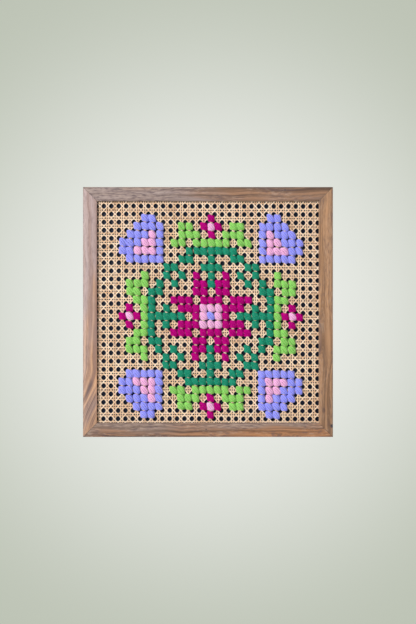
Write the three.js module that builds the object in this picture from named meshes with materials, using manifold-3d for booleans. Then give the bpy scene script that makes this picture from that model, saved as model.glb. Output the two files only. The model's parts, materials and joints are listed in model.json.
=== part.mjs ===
// A square wall panel: a mitred wooden frame around a sheet of woven cane, cross-stitched with thick yarn.
// Millimetres, +Z up, +X to the right of someone who looks at the front. The front faces -Y.
// The wall is the plane y = 0, and the origin is the centre of the panel on it.
import * as THREE from "three";
import { mergeVertices } from "three/addons/utils/BufferGeometryUtils.js";
import Module from "manifold-3d";

const wasm = await Module();
wasm.setup();

// Cane and embroidery
const HOLE_PITCH_X = 12;
const HOLE_PITCH_Z = 13.3;
const HOLE_SIDE = 6.2;
const MARGIN_LEFT = 34.3; // bare cane between the embroidery and the frame
const MARGIN_RIGHT = 25.7;
const MARGIN_TOP = 21.35;
const MARGIN_BOTTOM = 6.15;
const OPEN_COLUMNS = 2; // columns of open holes at each side of the web
const OPEN_ROWS_TOP = 2;
const OPEN_ROWS_BOTTOM = 1;
const YARN_THICK = 3.2; // height of a stitch over the cane
const STITCH_NOTCH = 1.1; // how far a stitch draws in between two holes
const STITCH_TIP = 1.5; // how far from a hole's middle an outer leg of a stitch ends
const STITCH_EDGE = 0.25; // half the gap between two runs of yarn that meet
const YARN_NECK = 0.9; // half the width of yarn that passes from a stitch to the next one across a hole
const LEG = 1.4; // side of a strand that goes through a hole
const BACK_STRAND = 1.6; // thickness of the strand behind the cane

// Frame
const FACE = 23; // width of a rail seen from the front
const RAIL_DEPTH = 16;
const LIP = 4; // thickness of the front lip
const REBATE = 9; // width of the lip that covers the web
const EDGE_CHAMFER = 1;
const MITRE_GAP = 0.3;
const FIT = 0.3; // gap between pieces that lie on each other
const INSERT_PLAY = 0.5; // room round the web, the slips and the board in the rebate

// What lies in the rebate
const WEB_THICK = 2;
const BOARD_THICK = 6;
const BOARD_RECESS = 1; // the board's back lies this far in from the backs of the rails
const SLIP_SETBACK = 0.5; // how far the slips stay behind the edge of the lip

// Corner nails
const NAIL_SPREAD = 4; // half the nail's width across the mitre
const NAIL_POINT = 3; // how far its middle stands ahead of its wings
const NAIL_THICK = 1;
const NAIL_DEPTH = 10;

// Turn buttons and screws
const BUTTON_LENGTH = 22;
const BUTTON_WIDTH = 9;
const BUTTON_THICK = 1.2;
const SCREW_SHANK = 1.5; // radius
const SCREW_HEAD = 3.2; // radius
const SCREW_HEAD_HEIGHT = 1.6;
const SCREW_LENGTH = 11; // under the head
const SCREW_POINT = 3;
const TURN_GAP = 0.25; // clearance round a piece that turns

// Hangers and wall pads
const HANGER_DROP = 103; // from the top of the frame down to the rings' axis
const STRAP_WIDTH = 8;
const STRAP_THICK = 0.9;
const STRAP_END = 5.5; // from the screw to the end of the strap
const WIRE = 1; // radius of the ring's wire
const RING_PLAY = 1.4; // room at each side of the strap before the ring turns its corner
const RING_STRAIGHT = 3; // straight part of each leg, between the corner and the arch
const RING_CORNER = 1.6;
const RING_SETBACK = 0.5; // how far the rings stay inside the frame's outline
const RING_CLEAR = 0.7; // between a ring that hangs down and the head of its screw
const PAD_RADIUS = 6;
const WALL_GAP = 0.9; // between the hangers and the wall

// Facets
const ROUND_SIDES = 12;
const PAD_SIDES = 16;
const WIRE_SIDES = 8;
const RING_ARCH_STEPS = 10;
const RING_CORNER_STEPS = 3;
const HALF_CIRCLE_STEPS = 6;

// One eighth of each motif of the pattern, as stitches counted [across, up] from the middle stitch.
const STAR = [[0, 2], [1, 2], [1, 3], [1, 4], [2, 3], [2, 4], [2, 5]];
const STAR_RING = [[0, 1], [1, 1]];
const STAR_CENTRE = [[0, 0]];
const WREATH = [
  ...[[0, 4], [0, 5], [0, 6], [0, 7], [1, 6]],
  ...[[0, 8], [1, 8], [2, 8], [3, 8], [3, 7], [4, 7], [5, 6], [6, 6], [4, 5]],
];
const LEAF_SPRAY = [[0, 9], [1, 9], [2, 9], [2, 10], [3, 10], [3, 11], [4, 11], [4, 10], [4, 9], [5, 9]];
const BLOSSOM = [[0, 10], [1, 11], [0, 12]];
const BLOSSOM_CENTRE = [[0, 11]];
const HEART = [
  ...[[7, 7], [7, 8], [7, 9], [7, 10], [7, 11], [8, 11], [8, 12], [9, 12]],
  ...[[9, 11], [9, 10], [10, 10], [10, 11]],
];
const HEART_CENTRE = [[8, 8], [8, 9], [8, 10], [9, 9]];

// The frame's opening holds the embroidery and its margins.
const REACH = Math.max(...[WREATH, LEAF_SPRAY, BLOSSOM, HEART].flat(2)); // stitches from the middle to the edge
const OPENING_WIDTH = (2 * REACH + 1) * HOLE_PITCH_X + MARGIN_LEFT + MARGIN_RIGHT;
const OPENING_HEIGHT = (2 * REACH + 1) * HOLE_PITCH_Z + MARGIN_TOP + MARGIN_BOTTOM;
const PATTERN_X = (MARGIN_LEFT - MARGIN_RIGHT) / 2;
const PATTERN_Z = (MARGIN_BOTTOM - MARGIN_TOP) / 2;
const HALF_WIDTH = OPENING_WIDTH / 2 + FACE;
const HALF_HEIGHT = OPENING_HEIGHT / 2 + FACE;
const LAND = FACE - REBATE; // width of a rail's back
const INSERT_HALF_WIDTH = HALF_WIDTH - LAND - INSERT_PLAY;
const INSERT_HALF_HEIGHT = HALF_HEIGHT - LAND - INSERT_PLAY;

// Hangers
const KNUCKLE = WIRE + TURN_GAP + STRAP_THICK; // outer radius of the strap where it folds round the wire
const RING_HALF_WIDTH = STRAP_WIDTH / 2 + RING_PLAY + RING_CORNER; // to the middle of the wire
const RING_REACH = RING_CORNER + RING_STRAIGHT + RING_HALF_WIDTH + WIRE;
const HANGER_X = HALF_WIDTH - RING_SETBACK - WIRE - RING_HALF_WIDTH;
const HANGER_Z = HALF_HEIGHT - HANGER_DROP;
const HANGER_SCREW_Z = HANGER_Z - RING_REACH - RING_CLEAR - SCREW_HEAD;

// Planes across the depth, from the wall forwards
const BACK = -(FIT + 2 * KNUCKLE + WALL_GAP);
const FRONT = BACK - RAIL_DEPTH;
const WEB_FRONT = FRONT + LIP + FIT;
const WEB_BACK = WEB_FRONT + WEB_THICK;
const BOARD_BACK = BACK - BOARD_RECESS;
const BOARD_FRONT = BOARD_BACK - BOARD_THICK;

function finish(color, roughness, metalness = 0) {
  return new THREE.MeshStandardMaterial({ color, roughness, metalness });
}

const WALNUT = finish(0xa98567, 0.55);
const PINE = finish(0xc9a77a, 0.7);
const CANE = finish(0xe2b98c, 0.5);
const BOARD = finish(0x2e3042, 0.85);
const STEEL = finish(0xb4b6b8, 0.35, 1);
const BRASS = finish(0xb99a58, 0.4, 1);
const FELT = finish(0x4b4d50, 0.95);
const VIOLET = finish(0x9191fa, 0.95);
const MAGENTA = finish(0xb80070, 0.95);
const PINK = finish(0xf0afdc, 0.95);
const DARK_GREEN = finish(0x1e8769, 0.95);
const LIGHT_GREEN = finish(0x87d25a, 0.95);

const panel = new THREE.Group();

function place(name, geometry, material, parent = panel) {
  const mesh = new THREE.Mesh(geometry, material);
  mesh.name = name;
  parent.add(mesh);
}

// Each side is drawn as the top one and then turned about Y by quarters, to the left, the bottom and the right.
// `along` is half its length and `out` is how far its outer edge lies from the middle.
const NAMES = ["top", "left", "bottom", "right"];
const CORNERS = ["top_right", "top_left", "bottom_left", "bottom_right"];
const sides = NAMES.map((name, quarter) => {
  const group = new THREE.Group();
  group.rotation.y = (-quarter * Math.PI) / 2;
  panel.add(group);
  const upright = quarter % 2 === 1;
  const along = upright ? HALF_HEIGHT : HALF_WIDTH;
  const out = upright ? HALF_WIDTH : HALF_HEIGHT;
  return { name, corner: CORNERS[quarter], group, upright, along, out };
});

function solidOf(geometry) {
  const bare = geometry.clone();
  bare.deleteAttribute("normal");
  bare.deleteAttribute("uv");
  const merged = mergeVertices(bare, 1e-4);
  const vertProperties = new Float32Array(merged.attributes.position.array);
  const triVerts = new Uint32Array(merged.index.array);
  return new wasm.Manifold(new wasm.Mesh({ numProp: 3, vertProperties, triVerts }));
}

function geometryOf(solid) {
  const mesh = solid.getMesh();
  const geometry = new THREE.BufferGeometry();
  geometry.setAttribute("position", new THREE.BufferAttribute(new Float32Array(mesh.vertProperties), 3));
  geometry.setIndex(new THREE.BufferAttribute(new Uint32Array(mesh.triVerts), 1));
  geometry.computeVertexNormals();
  return geometry;
}

function joined(first, ...others) {
  return geometryOf(others.reduce((sum, other) => sum.add(solidOf(other)), solidOf(first)));
}

function cut(first, ...others) {
  return geometryOf(others.reduce((rest, other) => rest.subtract(solidOf(other)), solidOf(first)));
}

function block(x0, x1, y0, y1, z0, z1) {
  const geometry = new THREE.BoxGeometry(x1 - x0, y1 - y0, z1 - z0);
  return geometry.translate((x0 + x1) / 2, (y0 + y1) / 2, (z0 + z1) / 2);
}

// A flat outline drawn in X and Z, with the depth from y0 to y1.
function plate(shape, y0, y1) {
  const settings = { depth: y1 - y0, bevelEnabled: false, curveSegments: HALF_CIRCLE_STEPS };
  const geometry = new THREE.ExtrudeGeometry(shape, settings);
  return geometry.rotateX(Math.PI / 2).translate(0, y1, 0);
}

// A round bar along Y.
function bar(radius, x, z, y0, y1, facets = ROUND_SIDES) {
  return new THREE.CylinderGeometry(radius, radius, y1 - y0, facets).translate(x, (y0 + y1) / 2, z);
}

// A pan-head screw driven forwards along -Y, whose head sits on the plane y.
function screw(x, y, z) {
  const profile = [
    [0, -SCREW_LENGTH],
    [SCREW_SHANK, SCREW_POINT - SCREW_LENGTH],
    [SCREW_SHANK, 0],
    [SCREW_HEAD, 0],
    [SCREW_HEAD, SCREW_HEAD_HEIGHT / 2],
    [SCREW_HEAD - SCREW_HEAD_HEIGHT / 2, SCREW_HEAD_HEIGHT],
    [0, SCREW_HEAD_HEIGHT],
  ];
  const points = profile.map(([radius, along]) => new THREE.Vector2(radius, along));
  return new THREE.LatheGeometry(points, ROUND_SIDES).translate(x, y, z);
}

const screwHole = (x, z) => bar(SCREW_SHANK + FIT, x, z, BACK - SCREW_LENGTH, BACK + FIT);

// The chevron of a corner nail across the mitre at the right end of a side, or at its left end with `hand` -1.
function nailOutline({ along, out }, hand, room) {
  const point = (forward, across) => {
    const x = along - LAND / 2 + (forward + across) * Math.SQRT1_2;
    const z = out - LAND / 2 + (forward - across) * Math.SQRT1_2;
    return new THREE.Vector2(hand * x, z);
  };
  const ahead = NAIL_POINT / 2 + room;
  const behind = -NAIL_POINT / 2 - room;
  const spread = NAIL_SPREAD + room;
  const thick = NAIL_THICK + room;
  return new THREE.Shape([
    point(ahead, 0),
    point(behind + thick, -spread),
    point(behind, -spread),
    point(ahead - thick, 0),
    point(behind, spread),
    point(behind + thick, spread),
  ]);
}

// The section of a rail runs from the outer edge inwards and is drawn out to both mitres.
function railBlank({ along, out }) {
  const section = new THREE.Shape([
    new THREE.Vector2(0, FRONT + EDGE_CHAMFER),
    new THREE.Vector2(EDGE_CHAMFER, FRONT),
    new THREE.Vector2(FACE - EDGE_CHAMFER, FRONT),
    new THREE.Vector2(FACE, FRONT + EDGE_CHAMFER),
    new THREE.Vector2(FACE, FRONT + LIP),
    new THREE.Vector2(LAND, FRONT + LIP),
    new THREE.Vector2(LAND, BACK),
    new THREE.Vector2(0, BACK),
  ]);
  const geometry = new THREE.ExtrudeGeometry(section, { depth: 1, bevelEnabled: false });
  const position = geometry.attributes.position;
  for (let i = 0; i < position.count; i++) {
    const inward = position.getX(i);
    const reach = along - inward - MITRE_GAP * Math.SQRT1_2;
    const end = 2 * position.getZ(i) - 1;
    position.setXYZ(i, reach * end, position.getY(i), out - inward);
  }
  return geometry;
}

function rails() {
  const hangerScrews = { left: HANGER_SCREW_Z, right: -HANGER_SCREW_Z };
  for (const side of sides) {
    const slots = [1, -1].map((hand) => {
      return plate(nailOutline(side, hand, FIT), BACK - NAIL_DEPTH - FIT, BACK + FIT);
    });
    const holes = [screwHole(0, side.out - LAND / 2)];
    if (side.upright) holes.push(screwHole(hangerScrews[side.name], HANGER_X));
    const nail = plate(nailOutline(side, 1, 0), BACK - NAIL_DEPTH, BACK);
    place(`rail_${side.name}`, cut(railBlank(side), ...slots, ...holes), WALNUT, side.group);
    place(`corner_nail_${side.corner}`, nail, STEEL, side.group);
  }
}

// The top and bottom slips run right across, and the side ones fit between them.
function slips() {
  const width = REBATE - INSERT_PLAY - SLIP_SETBACK;
  for (const { name, group, upright, along, out } of sides) {
    const outer = out - LAND - INSERT_PLAY;
    const end = along - LAND - INSERT_PLAY - (upright ? width + FIT : 0);
    const slip = block(-end, end, WEB_BACK + FIT, BOARD_FRONT - FIT, outer - width, outer);
    place(`slip_${name}`, slip, PINE, group);
  }
}

function insert(front, back) {
  return block(-INSERT_HALF_WIDTH, INSERT_HALF_WIDTH, front, back, -INSERT_HALF_HEIGHT, INSERT_HALF_HEIGHT);
}

function backingBoard() {
  place("backing_board", insert(BOARD_FRONT, BOARD_BACK), BOARD);
}

const leftRight = (cells) => cells.flatMap(([u, v]) => [[u, v], [-u, v]]);
const acrossDiagonal = (cells) => cells.flatMap(([u, v]) => [[u, v], [v, u]]);
const quarterTurn = (cells) => cells.map(([u, v]) => [-v, u]);
const distinct = (cells) => [...new Map(cells.map((cell) => [cell.join(), cell])).values()];

function quarterTurns(cells) {
  const turns = [cells];
  while (turns.length < NAMES.length) turns.push(quarterTurn(turns.at(-1)));
  return turns;
}

const wholeRun = (name, eighth, material) => {
  return [{ name, material, cells: distinct(quarterTurns(leftRight(eighth)).flat()) }];
};
const sideRuns = (name, eighth, material) => {
  const turns = quarterTurns(leftRight(eighth));
  return turns.map((cells, i) => ({ name: `${name}_${NAMES[i]}`, material, cells: distinct(cells) }));
};
const cornerRuns = (name, eighth, material) => {
  const turns = quarterTurns(acrossDiagonal(eighth));
  return turns.map((cells, i) => ({ name: `${name}_${CORNERS[i]}`, material, cells: distinct(cells) }));
};

const yarnRuns = [
  ...wholeRun("star", STAR, MAGENTA),
  ...wholeRun("star_ring", STAR_RING, PINK),
  ...wholeRun("star_centre", STAR_CENTRE, VIOLET),
  ...wholeRun("wreath", WREATH, DARK_GREEN),
  ...sideRuns("leaf_spray", LEAF_SPRAY, LIGHT_GREEN),
  ...sideRuns("blossom", BLOSSOM, MAGENTA),
  ...sideRuns("blossom_centre", BLOSSOM_CENTRE, PINK),
  ...cornerRuns("heart", HEART, VIOLET),
  ...cornerRuns("heart_centre", HEART_CENTRE, PINK),
];

// Hole (i, j) is the lower left one of stitch (i, j).
const holeX = (i) => PATTERN_X + (i - 0.5) * HOLE_PITCH_X;
const holeZ = (j) => PATTERN_Z + (j - 0.5) * HOLE_PITCH_Z;

// The loops of holes round a run of stitches, with the stitches on the left of each step.
// Stitches that meet across a hole stay in one loop, so the run is one length of yarn.
function loopsAround(cells) {
  const taken = new Set(cells.map((cell) => cell.join()));
  const leaving = new Map();
  const unused = new Set();
  const addStep = (i, j, di, dj) => {
    const key = `${i},${j}`;
    const step = { key, i, j, di, dj };
    leaving.set(key, [...(leaving.get(key) ?? []), step]);
    unused.add(step);
  };
  for (const [u, v] of cells) {
    if (!taken.has(`${u},${v - 1}`)) addStep(u, v, 1, 0);
    if (!taken.has(`${u + 1},${v}`)) addStep(u + 1, v, 0, 1);
    if (!taken.has(`${u},${v + 1}`)) addStep(u + 1, v + 1, -1, 0);
    if (!taken.has(`${u - 1},${v}`)) addStep(u, v + 1, 0, -1);
  }
  const isCrossing = (key) => leaving.get(key).length > 1;
  const follow = ({ i, j, di, dj }) => {
    const key = `${i + di},${j + dj}`;
    return leaving.get(key).find((step) => !isCrossing(key) || (step.di === dj && step.dj === -di));
  };
  const loops = [];
  for (const first of unused) {
    const loop = [];
    for (let step = first; unused.delete(step); step = follow(step)) loop.push(step);
    loops.push(loop);
  }
  return { loops, isCrossing };
}

// The outline that yarn makes along a loop of holes: drawn in between two holes, out at each hole.
function yarnOutline(loop, isCrossing) {
  return loop.flatMap(({ key, i, j, di, dj }, n) => {
    const before = loop.at(n - 1);
    const straight = before.di === di && before.dj === dj;
    const leftTurn = before.di * dj - before.dj * di > 0;
    const rightTurnInset = isCrossing(key) ? -YARN_NECK : STITCH_EDGE;
    const turnInset = leftTurn ? STITCH_TIP : rightTurnInset;
    const inset = straight ? STITCH_EDGE : turnInset;
    const inX = straight ? -dj : -dj - before.dj;
    const inZ = straight ? di : di + before.di;
    const cornerAt = new THREE.Vector2(holeX(i) + inX * inset, holeZ(j) + inZ * inset);
    const notchX = holeX(i + di / 2) - dj * STITCH_NOTCH;
    const notchZ = holeZ(j + dj / 2) + di * STITCH_NOTCH;
    return [cornerAt, new THREE.Vector2(notchX, notchZ)];
  });
}

// A stitch that fastens its run: two strands through the holes on its left and one strand behind the cane.
function fastening([u, v]) {
  const outside = HOLE_SIDE / 2 - FIT; // the strands lie against the walls of the holes
  const x1 = holeX(u) + outside;
  const x0 = x1 - LEG;
  const lower = holeZ(v) + outside - LEG;
  const upper = holeZ(v + 1) - outside + LEG;
  const front = WEB_FRONT - FIT - YARN_THICK / 2;
  const behind = WEB_BACK + FIT;
  const end = behind + BACK_STRAND;
  return [
    block(x0, x1, front, end, lower, lower + LEG),
    block(x0, x1, front, end, upper - LEG, upper),
    block(x0, x1, behind, end, lower, upper),
  ];
}

const firstAndLast = (cells) => distinct([cells[0], cells.at(-1)]);

function yarn() {
  for (const { name, material, cells } of yarnRuns) {
    const { loops, isCrossing } = loopsAround(cells);
    const outlines = loops.map((loop) => yarnOutline(loop, isCrossing));
    const outer = outlines.find((points) => !THREE.ShapeUtils.isClockWise(points));
    const shape = new THREE.Shape(outer);
    shape.holes = outlines.filter((points) => points !== outer).map((points) => new THREE.Path(points));
    const front = plate(shape, WEB_FRONT - FIT - YARN_THICK, WEB_FRONT - FIT);
    const fastenings = firstAndLast(cells).flatMap(fastening);
    place(`yarn_${name}`, joined(front, ...fastenings), material);
  }
}

// Holes of the web: the open border round the embroidery, and those that a fastening passes through.
function webHoles() {
  const holes = new Map();
  const add = (i, j) => holes.set(`${i},${j}`, [i, j]);
  const seen = (holeAt, pitch, opening) => {
    const most = Math.ceil(opening / pitch);
    const indices = Array.from({ length: 2 * most + 1 }, (none, n) => n - most);
    return indices.filter((n) => Math.abs(holeAt(n)) + HOLE_SIDE / 2 < opening / 2);
  };
  const columns = seen(holeX, HOLE_PITCH_X, OPENING_WIDTH);
  const rows = seen(holeZ, HOLE_PITCH_Z, OPENING_HEIGHT);
  columns.forEach((i, column) => {
    rows.forEach((j, row) => {
      const side = column < OPEN_COLUMNS || column >= columns.length - OPEN_COLUMNS;
      if (side || row < OPEN_ROWS_BOTTOM || row >= rows.length - OPEN_ROWS_TOP) add(i, j);
    });
  });
  for (const { cells } of yarnRuns) {
    for (const [u, v] of firstAndLast(cells)) {
      add(u, v);
      add(u, v + 1);
    }
  }
  return [...holes.values()];
}

function caneWeb() {
  const side = HOLE_SIDE / 2;
  const holes = webHoles().map(([i, j]) => {
    const [x, z] = [holeX(i), holeZ(j)];
    return block(x - side, x + side, WEB_FRONT - FIT, WEB_BACK + FIT, z - side, z + side);
  });
  place("cane_web", cut(insert(WEB_FRONT, WEB_BACK), ...holes), CANE);
}

// A flat bar with round ends, held at one end by its screw, that reaches over the edge of the board.
function turnButtons() {
  const y0 = BACK + FIT;
  const y1 = y0 + BUTTON_THICK;
  for (const { name, group, out } of sides) {
    const pivot = out - LAND / 2;
    const shape = new THREE.Shape();
    shape.absarc(0, pivot, BUTTON_WIDTH / 2, 0, Math.PI);
    shape.absarc(0, pivot - BUTTON_LENGTH + BUTTON_WIDTH, BUTTON_WIDTH / 2, Math.PI, 2 * Math.PI);
    shape.holes.push(new THREE.Path().absarc(0, pivot, SCREW_SHANK + TURN_GAP, 0, 2 * Math.PI, true));
    place(`turn_button_${name}`, plate(shape, y0, y1), BRASS, group);
    place(`turn_screw_${name}`, screw(0, y1 + FIT, pivot), BRASS, group);
  }
}

// A strap folded round the ring's wire, drawn as a section across the depth and the height.
function strap(axisY) {
  const bore = WIRE + TURN_GAP;
  const bottom = HANGER_SCREW_Z - STRAP_END;
  const meets = Math.atan2(-Math.sqrt(KNUCKLE * KNUCKLE - bore * bore), -bore);
  const shape = new THREE.Shape();
  shape.moveTo(axisY - KNUCKLE, bottom);
  shape.lineTo(axisY - bore, bottom);
  shape.absarc(axisY, HANGER_Z, KNUCKLE, meets, Math.PI);
  shape.holes.push(new THREE.Path().absarc(axisY, HANGER_Z, bore, 0, 2 * Math.PI, true));
  const settings = { depth: STRAP_WIDTH, bevelEnabled: false, curveSegments: HALF_CIRCLE_STEPS };
  const folded = new THREE.ExtrudeGeometry(shape, settings);
  // The drawing's X is the depth, its Y the height and the width runs along X.
  const toPlace = new THREE.Matrix4().makeBasis(
    new THREE.Vector3(0, 1, 0),
    new THREE.Vector3(0, 0, 1),
    new THREE.Vector3(1, 0, 0),
  );
  return folded.applyMatrix4(toPlace).translate(-STRAP_WIDTH / 2, 0, 0);
}

function arc(x, y, radius, from, to, steps) {
  return Array.from({ length: steps + 1 }, (none, n) => {
    const angle = from + ((to - from) * n) / steps;
    return new THREE.Vector2(x + radius * Math.cos(angle), y + radius * Math.sin(angle));
  });
}

// A closed D of wire that stands up from its axis: a straight bar, two round corners, two legs and an arch.
function ring(axisY) {
  const corner = RING_HALF_WIDTH - RING_CORNER;
  const shoulder = RING_CORNER + RING_STRAIGHT;
  const points = [
    ...arc(corner, RING_CORNER, RING_CORNER, -Math.PI / 2, 0, RING_CORNER_STEPS),
    ...arc(0, shoulder, RING_HALF_WIDTH, 0, Math.PI, RING_ARCH_STEPS),
    ...arc(-corner, RING_CORNER, RING_CORNER, Math.PI, 1.5 * Math.PI, RING_CORNER_STEPS),
  ];
  const positions = [];
  const index = [];
  points.forEach((point, n) => {
    const following = (n + 1) % points.length;
    const along = points[following].clone().sub(points.at(n - 1)).normalize();
    const row = n * WIRE_SIDES;
    const nextRow = following * WIRE_SIDES;
    for (let s = 0; s < WIRE_SIDES; s++) {
      const angle = (2 * Math.PI * s) / WIRE_SIDES;
      const out = WIRE * Math.cos(angle);
      const y = axisY + WIRE * Math.sin(angle);
      positions.push(point.x + along.y * out, y, HANGER_Z + point.y - along.x * out);
      const t = (s + 1) % WIRE_SIDES;
      index.push(row + s, row + t, nextRow + t, row + s, nextRow + t, nextRow + s);
    }
  });
  const geometry = new THREE.BufferGeometry();
  geometry.setAttribute("position", new THREE.Float32BufferAttribute(positions, 3));
  geometry.setIndex(index);
  geometry.computeVertexNormals();
  return geometry;
}

function hangers() {
  const strapBack = BACK + FIT + STRAP_THICK;
  const axisY = BACK + FIT + KNUCKLE;
  const hole = bar(SCREW_SHANK + FIT, 0, HANGER_SCREW_Z, BACK, strapBack + FIT);
  for (const [side, sign] of [["left", -1], ["right", 1]]) {
    const group = new THREE.Group();
    group.position.x = sign * HANGER_X;
    panel.add(group);
    place(`hanger_strap_${side}`, cut(strap(axisY), hole), STEEL, group);
    place(`hanger_ring_${side}`, ring(axisY), STEEL, group);
    place(`hanger_screw_${side}`, screw(0, strapBack + FIT, HANGER_SCREW_Z), STEEL, group);
  }
}

function wallPads() {
  const x = HALF_WIDTH - LAND / 2;
  const z = LAND / 2 - HALF_HEIGHT;
  for (const [side, sign] of [["left", -1], ["right", 1]]) {
    place(`wall_pad_${side}`, bar(PAD_RADIUS, sign * x, z, BACK + FIT, 0, PAD_SIDES), FELT);
  }
}

rails();
slips();
backingBoard();
caneWeb();
yarn();
turnButtons();
hangers();
wallPads();

export default panel;
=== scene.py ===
"""A square wall panel: woven cane in a walnut frame, cross-stitched with thick yarn.

Metres, +Z up, with the front towards -Y and the wall at y = 0, as in the CAD model.
"""

import json
import math
import random
from dataclasses import dataclass

import bmesh
import bpy
import numpy as np
from mathutils import Matrix, Vector


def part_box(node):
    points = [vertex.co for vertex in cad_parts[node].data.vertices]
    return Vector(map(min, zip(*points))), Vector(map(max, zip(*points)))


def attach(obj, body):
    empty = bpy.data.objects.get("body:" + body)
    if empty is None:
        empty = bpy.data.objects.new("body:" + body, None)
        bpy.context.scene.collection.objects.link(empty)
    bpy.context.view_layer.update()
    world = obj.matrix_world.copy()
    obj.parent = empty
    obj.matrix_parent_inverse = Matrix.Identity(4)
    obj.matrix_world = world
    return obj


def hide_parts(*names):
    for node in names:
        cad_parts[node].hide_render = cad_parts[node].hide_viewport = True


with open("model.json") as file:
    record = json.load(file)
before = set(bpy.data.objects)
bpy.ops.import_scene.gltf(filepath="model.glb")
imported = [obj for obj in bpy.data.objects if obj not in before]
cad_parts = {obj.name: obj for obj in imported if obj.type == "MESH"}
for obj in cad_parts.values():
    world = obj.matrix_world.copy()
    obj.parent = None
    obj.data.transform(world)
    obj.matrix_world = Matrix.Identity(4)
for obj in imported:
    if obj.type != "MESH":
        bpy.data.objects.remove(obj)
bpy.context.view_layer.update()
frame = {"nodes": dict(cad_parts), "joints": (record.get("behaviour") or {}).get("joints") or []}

MM = 0.001
WELD = 0.001 * MM  # vertices this close together are merged
CAD_WELD = 0.01 * MM  # and in a copy of a CAD node
SIDES = ("top", "left", "bottom", "right")
CORNERS = ("top_right", "top_left", "bottom_left", "bottom_right")

# The grain of the rails
SWIRL_LONG = 60 * MM  # half the length and width of the place that the grain bends round
SWIRL_WIDE = 14 * MM
RUN_OUT_FROM = 205 * MM  # from the middle of a rail, where its grain runs out slantwise
RUN_OUT_TO = 85 * MM
GRAIN_STRAY = 16 * MM
KNOT_STRAY = 6 * MM
GRAIN_LEAN = 0.8  # how far the grain shifts across the rail for its depth
EDGE_SHADE = 201.6 * MM, 202.6 * MM  # where the outer edges of the frame are darkened, a painted shade on their rounding
MITRE = 0.3 * MM, 0.8 * MM  # where the dark line of a joint ends, from its middle

# The figure of the walnut, as streaks to a metre across the grain and along it
BANDS = 230, 3
LINES = 1500, 12
ZONES = 60, 8
CLUSTERS = 80, 13
FLECKS = 470, 80
PORES = 2300, 85
STRAYS = 9, 20  # these along it and across it

# The skin of the cane, in the same way
CANE_TONES = 240, 9
CANE_LINES = 4200, 60
CANE_JOINTS = 160, 26

# The cane: pairs of upright and level strands, and single strands on both slants
PITCH_X = 12 * MM  # between two pairs, and so between two holes
PITCH_Z = 13.3 * MM
MIDDLE_X = 4.3 * MM  # the middle stitch of the pattern
MIDDLE_Z = -7.6 * MM
PAIR_X = 1.55 * MM  # from the middle of a pair to each of its strands
PAIR_Z = 1.9 * MM
CANE_WIDTH = 1.67 * MM
CANE_THICK = 0.75 * MM
CANE_FLATS = 0.55, 0.6  # how much of its width is flat, on its two faces
PAIR_WAVE = 0.45 * MM  # how far a strand of a pair bends over and under the pair that it crosses
SLANT_LIFT = 0.34 * MM  # how far the slanting strands lie in front of the pairs
SLANT_WAVE = 0.45 * MM
SLANT_SNAP = 2  # how quickly they go from over a pair to under the next
SLANT_SIZE = 0.98  # of a slanting strand beside one of a pair
PAIR_STEPS = 8  # points of a strand from one pair to the next
SLANT_STEPS = 12
WANDER = 1.1 * MM  # how far the rows and columns of the web stray from straight lines
RIPPLE = 0.35  # how much of that comes again in shorter waves
web_low, web_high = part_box("cane_web")
WEB_FRONT = web_low.y
WEB_MIDDLE = (web_low.y + web_high.y) / 2
WEB_HALF = web_high.x

# The yarn: each stitch has two legs, and each leg a few strands side by side
STRANDS = 3
STRAND_RADIUS = 1.5 * MM
STRAND_POINTS = 9
PLIES = 3  # twisted together in a strand
PLY_TURNS = 5  # of the plies from one end of a strand to the other
LEG_SPACING = 3.25 * MM  # between strands at the middle of a leg
LEG_FULLNESS = 0.9, 1.06  # of that spacing, least and most
TIP_SPACING = 0.5 * MM  # between strands where they go into a hole
TIP_SHORT = 2.3 * MM, 3.5 * MM  # from the middle of a hole to where a lower leg ends, least and most
TIP_TAPER = 2.9  # how late a leg narrows towards its tips
TIP_THIN = 0.34  # how much thinner a strand is there
TOP_LONGER = 1.2 * MM  # how much further the upper leg of a stitch reaches
TOP_FALL = 2.5  # how late the upper leg comes down to the height of the lower one
LEG_DEPTH = 2.6 * MM  # how far a leg goes in behind the front of the cane
LEG_DIVE = 8, 0.7  # how late and how steeply it goes in
LOW_HEIGHT = 0.7 * MM  # of the strands' middle line over the cane
TOP_HEIGHT = 2.4 * MM
LEG_CROWN = 0.45 * MM  # how much lower the outer strands of a leg lie
UNEVEN = 0.26 * MM  # how far a strand lies off its place
STITCH_NUDGE = 0.55 * MM  # how far a stitch lies off the middle of its four holes
STITCH_TURN = 0.1  # how far a leg is turned, in radians

# One eighth of each motif, as stitches counted [across, up] from the middle stitch
STAR = [(0, 2), (1, 2), (1, 3), (1, 4), (2, 3), (2, 4), (2, 5)]
STAR_RING = [(0, 1), (1, 1)]
STAR_CENTRE = [(0, 0)]
WREATH = [(0, 4), (0, 5), (0, 6), (0, 7), (1, 6), (0, 8), (1, 8), (2, 8), (3, 8), (3, 7), (4, 7)]
WREATH += [(5, 6), (6, 6), (4, 5)]
LEAF_SPRAY = [(0, 9), (1, 9), (2, 9), (2, 10), (3, 10), (3, 11), (4, 11), (4, 10), (4, 9), (5, 9)]
BLOSSOM = [(0, 10), (1, 11), (0, 12)]
BLOSSOM_CENTRE = [(0, 11)]
HEART = [(7, 7), (7, 8), (7, 9), (7, 10), (7, 11), (8, 11), (8, 12), (9, 12), (9, 11), (9, 10)]
HEART += [(10, 10), (10, 11)]
HEART_CENTRE = [(8, 8), (8, 9), (8, 10), (9, 9)]

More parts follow.
